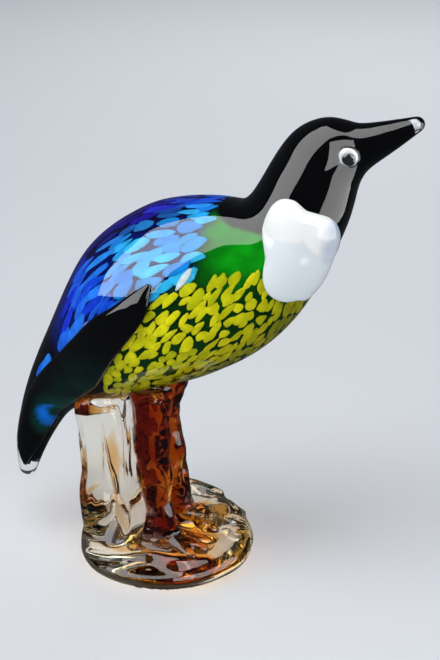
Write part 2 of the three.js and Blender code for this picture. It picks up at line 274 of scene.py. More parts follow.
def draw_out(name, rings, sides):
    """A circle of hot glass drawn out ring by ring and closed at both ends.
    A ring is (middle in metres, lean, half height, half width)."""
    bpy.ops.object.select_all(action="DESELECT")
    quarter = math.pi / 2
    bpy.ops.mesh.primitive_circle_add(vertices=sides, radius=1, fill_type="TRIFAN", rotation=(0, quarter, 0))
    piece = bpy.context.object
    bpy.ops.object.mode_set(mode="EDIT")
    bpy.ops.mesh.select_all(action="SELECT")
    old = (Vector((0, 0, 0)), 0.0, 1.0, 1.0)
    for k, ring in enumerate(rings):
        middle, lean, high, wide = ring
        if k:
            bpy.ops.mesh.extrude_region_move()
        bpy.ops.transform.translate(value=middle - old[0])
        bpy.ops.transform.rotate(value=-old[1], orient_axis="Y", center_override=middle)
        bpy.ops.transform.resize(value=(1, wide / old[3], high / old[2]), center_override=middle)
        bpy.ops.transform.rotate(value=lean, orient_axis="Y", center_override=middle)
        old = ring
    bpy.ops.object.mode_set(mode="OBJECT")
    return face_outwards(call_it(settle(piece), name))


def rounded(rings):
    """Rings with a round end added before the first and after the last; its last ring stays off the pole."""
    steps = 3
    to_the_pole = steps + 0.6
    ends = []
    for ring, sign in ((rings[0], -1), (rings[-1], 1)):
        middle, lean, high, wide = ring
        along = Vector((math.cos(lean), 0, math.sin(lean)))
        reach = min(high, wide)
        cap = []
        for k in range(1, steps + 1):
            angle = math.pi / 2 * k / to_the_pole
            there = middle + along * sign * reach * math.sin(angle)
            cap.append((there, lean, high * math.cos(angle), wide * math.cos(angle)))
        ends.append(cap)
    return ends[0][::-1] + rings + ends[1]


# The back is sunk by the whole depth where the bird's half height is at least this, and by less elsewhere
FULL_SINK_FROM = 30


def bird_rings(first, last, count, lift, under=0.0):
    """Rings of the bird from first to last along the spine, raised by lift, and sunk by under on the back."""
    rings = []
    for k in range(count + 1):
        middle, lean, high, wide = section(first + (last - first) * k / count)
        back = Vector((math.sin(lean), 0, -math.cos(lean)))
        sink = under * min(1.0, high / FULL_SINK_FROM)
        lowered = (middle - back * sink / 2) * MM
        rings.append((lowered, lean, (high + lift - sink / 2) * MM, (wide + lift) * MM))
    return rings


def ball(segments, rings):
    """A ball of glass to start from, of radius 1 at the origin."""
    bpy.ops.object.select_all(action="DESELECT")
    bpy.ops.mesh.primitive_uv_sphere_add(segments=segments, ring_count=rings, radius=1)
    return bpy.context.object


def laid_on_skin(name, segments, rings, place):
    """A ball of glass pressed onto the bird: place gives t, turn and lift for each polar angle and angle."""
    piece = ball(segments, rings)
    for vertex in piece.data.vertices:
        polar = math.acos(min(1.0, max(-1.0, vertex.co.z)))
        angle = math.atan2(vertex.co.y, vertex.co.x)
        vertex.co = on_skin(*place(polar, angle))
    return smooth_shade(face_outwards(call_it(piece, name)))


def blob(name, middle, radii, turn=0.0):
    """A flattened ball of glass, in millimetres."""
    piece = resized(ball(32, 16), [r * MM for r in radii])
    piece.rotation_euler.z = turn
    piece.location = Vector(middle) * MM
    return call_it(settle(piece), name)


# A run of glass is never thinner than this half width in millimetres
THINNEST_RUN = 0.3


def run_of_glass(name, points, widths):
    """A run of glass along points in millimetres, as thick as the half widths say."""
    curve = bpy.data.curves.new(name, "CURVE")
    curve.dimensions = "3D"
    curve.bevel_depth = 1.0
    curve.bevel_resolution = 5
    curve.use_fill_caps = True
    spline = curve.splines.new("POLY")
    steps_between = 4
    count = steps_between * (len(points) - 1) + 1
    path = [Vector(p) for p in points]
    sizes = [Vector((w, 0, 0)) for w in widths]
    spline.points.add(count - 1)
    for k in range(count):
        u = k / (count - 1)
        spline.points[k].co = (*(curve_at(path, u) * MM), 1)
        spline.points[k].radius = max(curve_at(sizes, u).x, THINNEST_RUN) * MM
    piece = bpy.data.objects.new(name, curve)
    bpy.context.collection.objects.link(piece)
    alone(piece)
    bpy.ops.object.convert(target="MESH")
    return bpy.context.object


def ripple(piece, depth, size, stretch=(1, 1, 1), seed=0.0, keep=None):
    """Moves the skin in and out as molten glass sets, a quarter of it finer. Depth and size are in mm."""
    broad, fine, finer_by = 0.75, 0.25, 2.3
    mesh = piece.data
    shifts = []
    for vertex in mesh.vertices:
        at = Vector(c / MM / size * s for c, s in zip(vertex.co, stretch)) + Vector((seed, seed, seed))
        amount = noise.noise(at) * broad + noise.noise(at * finer_by) * fine
        weight = keep(vertex.co) if keep else 1.0
        shifts.append(vertex.normal * (amount * depth * MM * weight))
    for vertex, shift in zip(mesh.vertices, shifts):
        vertex.co += shift
    mesh.update()
    return piece


def fused(name, pieces, voxel, rounds):
    """Pieces melted into one skin and eased."""
    return smooth_shade(relaxed(melted(joined(pieces, name), voxel), rounds))


# Sealed glass stays at least this far under the skin of the glass round it, in millimetres
SEALED_BY = 0.4


def kept_inside(piece, outer):
    """Pulls in whatever would come through the skin of the glass that the piece is sealed in."""
    sealing = {"wrap_method": "NEAREST_SURFACEPOINT", "wrap_mode": "INSIDE", "offset": SEALED_BY * MM}
    return finish_with(piece, "SHRINKWRAP", target=outer, **sealing)


# Colours
def linear(code):
    """An sRGB hex colour as linear light."""
    parts = [int(code[k : k + 2], 16) / 255 for k in (1, 3, 5)]
    return (*[p / 12.92 if p <= 0.04045 else ((p + 0.055) / 1.055) ** 2.4 for p in parts], 1.0)


def blend_colours(a, b, share):
    share = min(1.0, max(0.0, share))
    return tuple(x + (y - x) * share for x, y in zip(a, b))


def step(value, edge, soft):
    """0 below the edge, 1 above it, eased over soft."""
    share = min(1.0, max(0.0, (value - edge) / soft + 0.5))
    return share * share * (3 - 2 * share)


def rise_between(value, table):
    """Straight lines through (place, amount) pairs."""
    for (a, p), (b, q) in zip(table, table[1:]):
        if value <= b:
            return p + (q - p) * max(0.0, (value - a) / (b - a))
    return table[-1][1]


def patch(along, across, middle, reach):
    """1 in the middle of an oval, 0 on its outline and below 0 outside it."""
    return 1 - ((along - middle[0]) / reach[0]) ** 2 - ((across - middle[1]) / reach[1]) ** 2


def uneven(co, size, least, swing):
    """How evenly a colour was laid on, by clouds of a size in millimetres."""
    return least + swing * noise.noise(co / MM / size)


def paint(piece, colour_at):
    """Stores a colour at each vertex as the attribute that the painted and sealed materials read."""
    layer = piece.data.color_attributes.new(TINT, "FLOAT_COLOR", "POINT")
    for vertex, entry in zip(piece.data.vertices, layer.data):
        entry.color = colour_at(vertex.co)
    return piece


# Materials
def new_material(name):
    material = bpy.data.materials.new(name)
    material.use_nodes = True
    material.node_tree.nodes.clear()
    return material, material.node_tree


def add(tree, kind, links=(), **settings):
    """Adds a node: settings are its own or its inputs' values, and links are (output, input name) pairs."""
    made = tree.nodes.new(kind)
    for key, value in settings.items():
        if hasattr(made, key):
            setattr(made, key, value)
        else:
            made.inputs[key.replace("_", " ")].default_value = value
    for output, name in links:
        tree.links.new(output, made.inputs[name])
    return made


def wear(piece, material):
    """Gives a piece its one material."""
    piece.data.materials.clear()
    piece.data.materials.append(material)
    return piece


# The Mix node's two colour inputs
MIX_A, MIX_B = 6, 7


def clear_glass(name, ior=1.5, density=0.0, dye_colour="#ffffff"):
    """Fire-polished see-through glass: the eye sees what is behind it bent, and a colour that deepens with
    the way through it. A lamp's shadow ray passes, so that what is sealed in it is lit."""
    material, tree = new_material(name)
    shader = add(tree, "ShaderNodeBsdfPrincipled")
    shader.inputs["Base Color"].default_value = linear("#ffffff")
    shader.inputs["Roughness"].default_value = 0.0
    shader.inputs["IOR"].default_value = ior
    shader.inputs["Transmission Weight"].default_value = 1.0
    path = add(tree, "ShaderNodeLightPath")
    open_way = add(tree, "ShaderNodeBsdfTransparent")
    both = add(tree, "ShaderNodeMixShader", [(path.outputs["Is Shadow Ray"], "Fac")])
    tree.links.new(shader.outputs[0], both.inputs[1])
    tree.links.new(open_way.outputs[0], both.inputs[2])
    out = add(tree, "ShaderNodeOutputMaterial", [(both.outputs[0], "Surface")])
    if density:
        dye = add(tree, "ShaderNodeVolumeAbsorption", Color=linear(dye_colour), Density=density)
        tree.links.new(dye.outputs[0], out.inputs["Volume"])
    return material


# How broad the clouds in coloured glass are, and the swells of its fire-polished skin, in millimetres
CLOUD = 11
SWELL = 18
SWELL_HEIGHT = 2


def solid_glass(name, colour, other_colour, roughness, coat=0.0):
    """Opaque coloured glass, fire-polished: a colour under a hard shine, faintly uneven from gathering."""
    material, tree = new_material(name)
    where = add(tree, "ShaderNodeTexCoord").outputs["Object"]
    cloud = add(tree, "ShaderNodeTexNoise", [(where, "Vector")], Scale=1 / (CLOUD * MM), Detail=3.0)
    mix = add(tree, "ShaderNodeMix", [(cloud.outputs["Fac"], "Factor")], data_type="RGBA")
    mix.inputs[MIX_A].default_value = linear(colour)
    mix.inputs[MIX_B].default_value = linear(other_colour)
    swell = add(tree, "ShaderNodeTexNoise", [(where, "Vector")], Scale=1 / (SWELL * MM), Detail=1.0)
    bump = add(tree, "ShaderNodeBump", [(swell.outputs["Fac"], "Height")], Strength=0.05)
    bump.inputs["Distance"].default_value = SWELL_HEIGHT * MM
    joins = [(mix.outputs[2], "Base Color"), (bump.outputs["Normal"], "Normal")]
    shader = add(tree, "ShaderNodeBsdfPrincipled", joins)
    shader.inputs["Roughness"].default_value = roughness
    shader.inputs["IOR"].default_value = 1.5
    shader.inputs["Coat Weight"].default_value = coat
    shader.inputs["Coat Roughness"].default_value = 0.02
    add(tree, "ShaderNodeOutputMaterial", [(shader.outputs[0], "Surface")])
    return material


def painted_glass(name, roughness):
    """Fire-polished opaque glass whose colours were laid on while it was hot, where the piece stores them."""
    material, tree = new_material(name)
    laid = add(tree, "ShaderNodeAttribute", attribute_name=TINT)
    shader = add(tree, "ShaderNodeBsdfPrincipled", [(laid.outputs["Color"], "Base Color")])
    shader.inputs["Roughness"].default_value = roughness
    add(tree, "ShaderNodeOutputMaterial", [(shader.outputs[0], "Surface")])
    return material


def sealed_colour(name, cloud_size, dark):
    """Coloured glass sealed under the clear skin: no shine of its own, mottled over cloud_size millimetres,
    down to the share dark of its colour."""
    material, tree = new_material(name)
    where = add(tree, "ShaderNodeTexCoord").outputs["Object"]
    laid = add(tree, "ShaderNodeAttribute", attribute_name=TINT)
    cloud = add(tree, "ShaderNodeTexNoise", [(where, "Vector")], Scale=1 / (cloud_size * MM), Detail=4.0)
    ramp = add(tree, "ShaderNodeMapRange", [(cloud.outputs["Fac"], "Value")])
    for key, value in (("From Min", 0.35), ("From Max", 0.65), ("To Min", dark), ("To Max", 1.1)):
        ramp.inputs[key].default_value = value
    mix = add(tree, "ShaderNodeMix", data_type="RGBA", blend_type="MULTIPLY")
    mix.inputs["Factor"].default_value = 1.0
    tree.links.new(laid.outputs["Color"], mix.inputs[MIX_A])
    tree.links.new(ramp.outputs["Result"], mix.inputs[MIX_B])
    shader = add(tree, "ShaderNodeBsdfPrincipled", [(mix.outputs[2], "Base Color")])
    shader.inputs["Roughness"].default_value = 1.0
    shader.inputs["Specular IOR Level"].default_value = 0.0
    add(tree, "ShaderNodeOutputMaterial", [(shader.outputs[0], "Surface")])
    return material


# Colourless soda-lime glass over the whole bird: a wet, hard shine, and a clear rim round the colours
casing_glass = clear_glass("clear casing glass")
# The same glass gathered thick: colourless where thin, faintly straw-coloured where light crosses much of it
rock_glass = clear_glass("clear rock glass", density=11.0, dye_colour="#f0dfa0")
# Amber rod glass of the legs: yellow where thin, red-brown where thick
amber_glass = clear_glass("amber rod glass", density=230.0, dye_colour="#f1d03a")
# Its heart, gathered first and worked cooler, so that it is denser: dark, ropy shapes inside the leg
deep_amber = clear_glass("amber rod heart", ior=1.1, density=500.0, dye_colour="#ecc43a")
# Streaks so thin that they bend nothing: only a breath of gold hangs in the clear glass. One of them, a
# gold band across the stump, is a painted reflection
amber_streak = clear_glass("amber streak in clear glass", ior=1.0, density=260.0, dye_colour="#f8c828")
# Amber sealed in the clear rock, where it meets glass and not air: it glows, with hardly an outline
sealed_amber = clear_glass("amber sealed in clear glass", ior=1.06, density=220.0, dye_colour="#fbdd2e")
# Black rod glass: a mirror over black, so that it shows its shape by what it reflects. It makes only the
# dark line round each eye, which is a painted shadow
eye_shadow_glass = solid_glass("black rod glass", "#050507", "#0a0b10", 0.03)
# White opal glass: milky and even, with a soft shine
white_glass = painted_glass("white opal glass", 0.1)
# White bead under a thin clear coat: bright, with a small sharp highlight
eye_glass = solid_glass("white bead glass", "#d9dcd9", "#e6e8e5", 0.06, coat=0.5)
# Smoke-coloured bead: nearly black, with a deep wet shine
pupil_glass = solid_glass("smoke bead glass", "#15171a", "#2b2e33", 0.03, coat=1.0)
# Coloured powder rolled onto the hot gather: soft, cloudy colour that lies deep under the shine
core_colour = sealed_colour("coloured powder under clear glass", 8, 0.6)
# Chips of coloured glass melted flat under the casing: bright, nearly even, each a little different
chip_colour = sealed_colour("glass chips under clear glass", 4.5, 0.82)
# Black rod glass with a gather of teal and blue under it: the colours show as if from inside
wing_glass = painted_glass("black wing glass", 0.02)

# The bird's clear skin and the coloured core sealed under it
CASING_RINGS = 44
CASING_SIDES = 24
CASING_LIFT = 0.1
CORE_RINGS = 62
CORE_SIDES = 28
# The core begins and ends short of the casing, so that the beak's and the tail's tips are clear,
# lies this deep under the skin, and deeper under the back
CORE_START = 0.018
CORE_END = 0.99
SKIN_DEPTH = 1.7
BACK_DEPTH = 2.2
# It draws to a thin end from this share of its rings on, within this share of them
CORE_TAPER_FROM = 0.94
CORE_TAPER_WITHIN = 0.065
CORE_THINNEST = 0.15

BLACK = linear("#030305")
NAVY = linear("#0d0b52")
DEEP_BLUE = linear("#0a2fae")
GREEN = linear("#08a513")
DARK_GREEN = linear("#043c08")
OLIVE = linear("#1c3a04")
# Where the yellow begins below the green and below the wing, and where the blue ends above the wing:
# share along the spine, and side in degrees from the back
YELLOW_TOP = [(0.442, 112), (0.455, 96), (0.48, 86), (0.56, 79)]
YELLOW_TOP += [(0.6, 86), (0.65, 100), (0.7, 112), (0.76, 124)]
BLUE_LOW = [(0.45, 80), (0.6, 78), (0.66, 76), (0.72, 70), (0.77, 68), (0.84, 50), (0.9, 42)]
# Where the blue begins behind the green, and where the black of the neck ends: side, share along the spine
BLUE_FRONT = [(0, 0.472), (30, 0.49), (57, 0.514), (70, 0.53), (77, 0.556), (90, 0.6)]
COLLAR = [(0, 0.48), (20, 0.482), (34, 0.465), (50, 0.43), (70, 0.402), (100, 0.395), (180, 0.42)]
# Where one colour gives way to the next: the edge and how softly, along the spine (t) or round it (side)
DARKER_GREEN_T = (0.5, 0.07)
DARKER_GREEN_SIDE = (96, 22)
DARKER_GREEN_BELLY_T = (0.455, 0.03)
OLIVE_SIDE = (150, 30)
NAVY_SIDE = (30, 30)
BLUE_FRONT_SOFT = 0.02
BLUE_SIDE = (80, 12)
COLLAR_SOFT = 0.012
BLACK_TAIL_AT = 0.745
BLACK_TAIL_SIDE = (70, 20)
BLACK_TAIL_SOFT = 0.06
# The black of the tail begins this much sooner below, and the collar's edge wanders by this much of the
# spine, about once in a thirtieth of it and in 12 degrees
BLACK_TAIL_SOONER = 0.04
COLLAR_WANDERS = 0.006
WANDERS_T = 30
WANDERS_SIDE = 12
# How much of the olive and, at the least, of the navy is mixed in
OLIVE_SHARE = 0.5
NAVY_LEAST = 0.35


def core_tint(t, turn):
    """The powder colour at a place on the core, the same on both sides."""
    side = abs(math.degrees(math.atan2(math.sin(turn), math.cos(turn))))
    wobble = noise.noise(Vector((t * WANDERS_T, side / WANDERS_SIDE, 0)))
    collar = rise_between(side, COLLAR) + COLLAR_WANDERS * wobble
    belly = step(side, *DARKER_GREEN_SIDE) * step(t, *DARKER_GREEN_BELLY_T)
    green = blend_colours(GREEN, DARK_GREEN, max(step(t, *DARKER_GREEN_T), belly))
    green = blend_colours(green, OLIVE, step(side, *OLIVE_SIDE) * OLIVE_SHARE)
    blue = blend_colours(DEEP_BLUE, NAVY, max(NAVY_LEAST, 1 - step(side, *NAVY_SIDE)))
    blue_share = step(t, rise_between(side, BLUE_FRONT), BLUE_FRONT_SOFT) * (1 - step(side, *BLUE_SIDE))
    body = blend_colours(green, blue, blue_share)
    body = blend_colours(BLACK, body, step(t, collar, COLLAR_SOFT))
    tail = BLACK_TAIL_AT - BLACK_TAIL_SOONER * step(side, *BLACK_TAIL_SIDE)
    return blend_colours(body, BLACK, step(t, tail, BLACK_TAIL_SOFT))


casing = draw_out("bird_casing", rounded(bird_rings(0, 1, CASING_RINGS, CASING_LIFT)), CASING_SIDES)
wear(smooth_shade(subdivided(casing, 2)), casing_glass)

core_rings = bird_rings(CORE_START, CORE_END, CORE_RINGS, -SKIN_DEPTH, BACK_DEPTH)
for k, (middle, lean, high, wide) in enumerate(core_rings):
    taper = max(CORE_THINNEST, 1 - max(0.0, k / CORE_RINGS - CORE_TAPER_FROM) / CORE_TAPER_WITHIN)
    core_rings[k] = (middle, lean, high * taper, wide * taper)
core = subdivided(draw_out("bird_core", rounded(core_rings), CORE_SIDES), 1)
paint(core, lambda co: core_tint(*where_on_bird(co)))
wear(smooth_shade(core), core_colour)

# Chips of coloured glass, each pressed flat on the core: how flat the bead is that they start from, and how
# many millimetres one unit of it becomes in depth
CHIP_FLATNESS = 0.5
CHIP_THICKNESS = 0.5
# How uneven a chip's outline is, in about how many lobes, and how far on in the noise the next chip's is
CHIP_UNEVEN = 0.26
CHIP_LOBES = 1.3
CHIP_APART = 3.7
# How much it may bend and taper, as a share of its width
CHIP_BEND = 0.3
CHIP_TAPER = 0.35


def press_chips(name, spots):
    """Copies one chip, a flattened bead, onto each spot, its outline uneven: t, turn, half length, half
    width, slant, lift and colour."""
    model = resized(ball(12, 6), (1, 1, CHIP_FLATNESS))
    shape = [vertex.co.copy() for vertex in model.data.vertices]
    chips = []
    for k, (t, turn, long, wide, slant, lift, colour) in enumerate(spots):
        chip = twin(model, f"chip_{k}")
        round_body = body_radius(t)
        bend = random.uniform(-CHIP_BEND, CHIP_BEND)
        taper = random.uniform(-CHIP_TAPER, CHIP_TAPER)
        for vertex, at in zip(chip.data.vertices, shape):
            angle = math.atan2(at.y, at.x)
            round_it = Vector((math.cos(angle) * CHIP_LOBES, math.sin(angle) * CHIP_LOBES, k * CHIP_APART))
            grow = 1 + CHIP_UNEVEN * noise.noise(round_it)
            ahead = at.x * long * grow
            across = at.y * wide * grow * (1 - taper * at.x) + bend * (at.x * at.x - 0.5) * wide
            u = ahead * math.cos(slant) - across * math.sin(slant)
            v = ahead * math.sin(slant) + across * math.cos(slant)
            vertex.co = on_skin(t + u / SPINE_LENGTH, turn + v / round_body, lift + at.z * CHIP_THICKNESS)
        layer = chip.data.color_attributes.new(TINT, "FLOAT_COLOR", "POINT")
        layer.data.foreach_set("color", list(colour) * len(layer.data))
        chips.append(chip)
    bpy.data.objects.remove(model)
    return wear(smooth_shade(joined(chips, name)), chip_colour)


# Where the chips lie along the spine: the yellow from behind the cheeks, a little later at the very bottom,
# and the blue from just before the core's own blue
YELLOW_FROM = 0.446
YELLOW_LATER = 0.012
YELLOW_LATER_SIDE = (160, 20)
YELLOW_TO = 0.735
BLUE_BEFORE = 0.007
BLUE_TO = 0.692


def yellow_here(t, side):
    first = YELLOW_FROM + YELLOW_LATER * step(side, *YELLOW_LATER_SIDE)
    return first < t < YELLOW_TO and side > rise_between(t, YELLOW_TOP)


def blue_here(t, side):
    first = rise_between(side, BLUE_FRONT) - BLUE_BEFORE
    return first < t < BLUE_TO and side < rise_between(t, BLUE_LOW)


# Each chip's colour lies between two, and its half length, half width in millimetres and slant in radians
# between two values
YELLOW_LONG = (2.2, 5.6)
YELLOW_WIDE = (1.2, 2.5)
YELLOW_SLANT = (0.25, 0.75)
BLUE_LONG = (3.6, 6.0)
BLUE_WIDE = (1.9, 3.4)
BLUE_SLANT = (-0.15, 0.45)
# Royal blue chips are longer by this and narrower by this than the sky blue ones
DRAWN_LONGER = 2.2
DRAWN_THINNER = 0.8
# Yellows of the chips above, and the olive ones of the chips underneath, which are painted shade
BRIGHT_YELLOWS = linear("#ece81c"), linear("#c3c90f")
SHADED_YELLOWS = linear("#aea70a"), linear("#7a8105")
SKY_BLUES = linear("#128fe6"), linear("#3fd2fb")
ROYAL_BLUES = linear("#1238d6"), linear("#2a7bf4")
RIM_BLUES = linear("#120a5c"), linear("#2a20c4")
# Where the yellow is darkened underneath as painted shade, where the sky blue lies, and where the back's rim
# is
YELLOW_SHADE_SIDE = (138, 50)
SKY_T = (0.62, 0.1)
SKY_SIDE = (16, 20)
RIM_SIDE = (28, 14)
RIM_T = (0.53, 0.06)


def yellow_chip(t, side):
    """Half length, half width, slant and colour of a yellow chip: bright above, and darkened to olive
    underneath as painted shade.
    """
    # Painted shade: the chips underneath take the darker, olive yellows
    low = step(side, *YELLOW_SHADE_SIDE)
    shade = random.random()
    colour = blend_colours(blend_colours(*BRIGHT_YELLOWS, shade), blend_colours(*SHADED_YELLOWS, shade), low)
    long = random.uniform(*YELLOW_LONG)
    wide = random.uniform(*YELLOW_WIDE)
    return long, wide, random.uniform(*YELLOW_SLANT), colour


def blue_chip(t, side):
    """The same of a blue chip: sky blue by the shoulder, royal blue and drawn out long towards the back and
    the tail, and nearly black where the back's rim turns away."""
    pale = (1 - step(t, *SKY_T)) * step(side, *SKY_SIDE)
    shade = random.random()
    colour = blend_colours(blend_colours(*ROYAL_BLUES, shade), blend_colours(*SKY_BLUES, shade), pale)
    rim = (1 - step(side, *RIM_SIDE)) * step(t, *RIM_T)
    colour = blend_colours(colour, blend_colours(*RIM_BLUES, shade), rim)
    long = random.uniform(*BLUE_LONG) + DRAWN_LONGER * (1 - pale)
    wide = random.uniform(*BLUE_WIDE) - DRAWN_THINNER * (1 - pale)
    return long, wide, random.uniform(*BLUE_SLANT), colour


# Chips further apart than this many millimetres can't crowd each other
APART = 12
# The stretch of the spine that chips are thrown at, and how far under the skin they end up, in millimetres
THROWN_AT = (0.44, 0.85)
CHIP_LIFT = (-1.5, -1.1)


def crowded(t, turn, long, wide, slant, spots, crowd):
    """Whether a chip would lie too near one of the others."""
    round_body = body_radius(t)
    for other in spots:
        du = (t - other[0]) * SPINE_LENGTH
        dv = (turn - other[1]) * round_body
        if abs(du) > APART or abs(dv) > APART:
            continue
        u = du * math.cos(slant) + dv * math.sin(slant)
        v = dv * math.cos(slant) - du * math.sin(slant)
        if (u / (long + other[2])) ** 2 + (v / (wide + other[3])) ** 2 < crowd:
            return True
    return False


def scatter(here, chip, first, last, tries, crowd):
    """Darts thrown at the bird from first to last degree of turn: a chip stays if it doesn't crowd others."""
    spots = []
    for _ in range(tries):
        t = random.uniform(*THROWN_AT)
        degrees = random.uniform(first, last)
        side = abs((degrees + 180) % 360 - 180)
        if not here(t, side):
            continue
        long, wide, slant, colour = chip(t, side)
        slant *= 1 if (degrees + 180) % 360 > 180 else -1
        turn = math.radians(degrees)
        if not crowded(t, turn, long, wide, slant, spots, crowd):
            spots.append((t, turn, long, wide, slant, random.uniform(*CHIP_LIFT), colour))
    return spots


# Single chips that the eye finds, on both sides: the white one by the shoulder and the blue ones that run
# down to the tail. Share along the spine, side in degrees, half length, half width, slant and colour
SINGLE_CHIPS = [
    (0.538, 75, 5.4, 1.3, 0.75, "#e6f2f6"),
    (0.705, 66, 8.5, 3.2, 0.1, "#2f86f6"),
    (0.735, 61, 6.5, 3.0, 0.15, "#2472f0"),
    (0.712, 54, 6.0, 2.2, 0.2, "#1a3fe0"),
    (0.7, 42, 7.0, 2.0, 0.1, "#1a2fd0"),
    (0.69, 73, 3.5, 1.5, 0.3, "#93a2ee"),
    (0.796, 56, 6.5, 2.8, 0.05, "#2b8bf7"),
    (0.812, 51, 4.5, 2.0, 0.1, "#1d6ff0"),
]
SINGLE_LIFT = -1.0

# Each colour's first and last degree of turn, darts thrown, and how near two chips may lie: 1 is side by side
YELLOW_THROW = (76, 284, 14000, 0.6)
BLUE_THROW = (-82, 82, 8000, 0.52)

random.seed(11)
yellow_chips = press_chips("yellow_chips", scatter(yellow_here, yellow_chip, *YELLOW_THROW))
random.seed(23)
blue_spots = scatter(blue_here, blue_chip, *BLUE_THROW)
for t, side, long, wide, slant, colour in SINGLE_CHIPS:
    for hand in (-1, 1):
        turn = hand * math.radians(side)
        blue_spots.append((t, turn, long, wide, hand * slant, SINGLE_LIFT, linear(colour)))
blue_chips = press_chips("blue_chips", blue_spots)

# Wings: black glass strips drawn from the shoulder to the tail. At, turn and half width in degrees
WING_SECTIONS = [
    (0.575, 71, 1),
    (0.6, 79, 8),
    (0.64, 85, 12),
    (0.69, 89, 18),
    (0.74, 92, 25),
    (0.79, 91, 31),
    (0.84, 92, 41),
    (0.89, 94, 48),
    (0.935, 93, 42),
    (0.965, 92, 27),
    (0.99, 91, 8),
]
WING_LINE = [Vector((at * 100, turn, half)) for at, turn, half in WING_SECTIONS]
WING_THICKNESS = 2.4
WING_ROOT_DEPTH = 1.3
# How flat the strip's top is, from 1, round, to 0, flat, and how fast it rises from its ends: it begins as a
# bare edge, and an eighth of its length further on it has its whole thickness
WING_CROWN = 0.7
WING_EDGE = 0.02
WING_RISE = 4
# Its colours lie round this place, in millimetres along and across from it: middle and reach of each oval
WING_PATCH_AT = 0.857
WING_PATCH_TURN = math.radians(119)
WING_PATCH_RADIUS = 10
TEAL_OVAL = ((0, 0), (17, 8))
GREEN_OVAL = ((-24, 0), (30, 9))
CRESCENT_OUTSIDE = ((2, 0.8), (8, 6))
CRESCENT_INSIDE = ((-1.5, 1.8), (5.5, 4.2))
WING_BLACK = linear("#030304")
WING_TEAL = linear("#053b33")
WING_BLUE = linear("#0b66cf")
TEAL_STRENGTH = 1.3
GREEN_STRENGTH = 0.35
CRESCENT_EDGE_OUT = (0.15, 0.35)
CRESCENT_EDGE_IN = (0.05, 0.4)


def wing_place(polar, angle):
    u = min(0.999, max(0.001, polar / math.pi))
    p = curve_at(WING_LINE, u)
    fade = math.sin(math.pi * min(0.5, WING_EDGE + WING_RISE * min(u, 1 - u)))
    rise = math.sin(angle)
    lift = WING_THICKNESS * fade * abs(rise) ** WING_CROWN if rise > 0 else WING_ROOT_DEPTH * rise
    return p.x / 100, math.radians(p.y + p.z * math.cos(angle)), lift


def wing_tint(co):
    """Black, with a gather of teal under it and a blue crescent at the root of the tail."""
    t, turn = where_on_bird(co)
    along = (t - WING_PATCH_AT) * SPINE_LENGTH
    across = (abs(turn) - WING_PATCH_TURN) * WING_PATCH_RADIUS
    teal = max(0.0, patch(along, across, *TEAL_OVAL))
    green = max(0.0, patch(along, across, *GREEN_OVAL))
    outer = patch(along, across, *CRESCENT_OUTSIDE)
    inner = patch(along, across, *CRESCENT_INSIDE)
    laid = uneven(co, 6, 0.7, 0.6)
    under = min(1.0, TEAL_STRENGTH * teal + GREEN_STRENGTH * green)
    colour = blend_colours(WING_BLACK, WING_TEAL, under * laid)
    crescent = step(outer, *CRESCENT_EDGE_OUT) * (1 - step(inner, *CRESCENT_EDGE_IN))
    return blend_colours(colour, WING_BLUE, crescent * laid)


wing_right = wear(paint(laid_on_skin("glass_wing_right", 36, 100, wing_place), wing_tint), wing_glass)
wing_left = mirrored(wing_right, "glass_wing_left")

# Cheeks: white glass pads with a lobed outline, reach in millimetres at equal angles
CHEEK_AT = 0.383
CHEEK_THICKNESS = 3.6
CHEEK_ROOT_DEPTH = 1.3
CHEEK_REACH = [22.0, 21.8, 21.3, 25.2, 25.9, 24, 23.4, 21.7, 20.3, 20, 20.9, 21.3]
CHEEK_REACH += [20.3, 19.9, 24.3, 25, 23.8, 21.6, 19.8, 17.9, 16.2, 15.8, 17.6, 20.4]
# Where the white was laid on in three gathers, upper, throat and lower: middle along and across, and reach
CHEEK_GATHERS = [(-12, -11, 13), (-10, 8, 13), (7, 3, 17)]
# A pad's thickness between the gathers and how much each adds, as shares, and the square of each one's reach
CHEEK_BASE = 0.48
CHEEK_SWELL = 0.56
GATHER_REACH_SQUARED = 1.15
# Where a blue-grey reflection is painted on the pad by the throat: middle and reach along and across
CHEEK_REFLECTION_OVAL = ((-12, 15), (14, 12))
NECK_RADIUS = 22
# The white of the upper gathers, and the greyer white of the lower one, which is painted shade
UPPER_WHITE = linear("#f2f3f1")
SHADED_LOWER_WHITE = linear("#dce2e5")
# The painted blue-grey reflection by the throat, and how strongly it is laid
THROAT_REFLECTION_BLUE = linear("#93a6c4")
REFLECTION_STRENGTH = 1.3


def cheek_reach(angle):
    """The outline's reach, smooth through the table, which is run round past both its ends."""
    count = len(CHEEK_REACH)
    place = (angle / (2 * math.pi)) % 1.0
    lobes = [Vector((CHEEK_REACH[(k - 2) % count], 0, 0)) for k in range(count + 5)]
    return curve_at(lobes, (place * count + 2) / (count + 4)).x


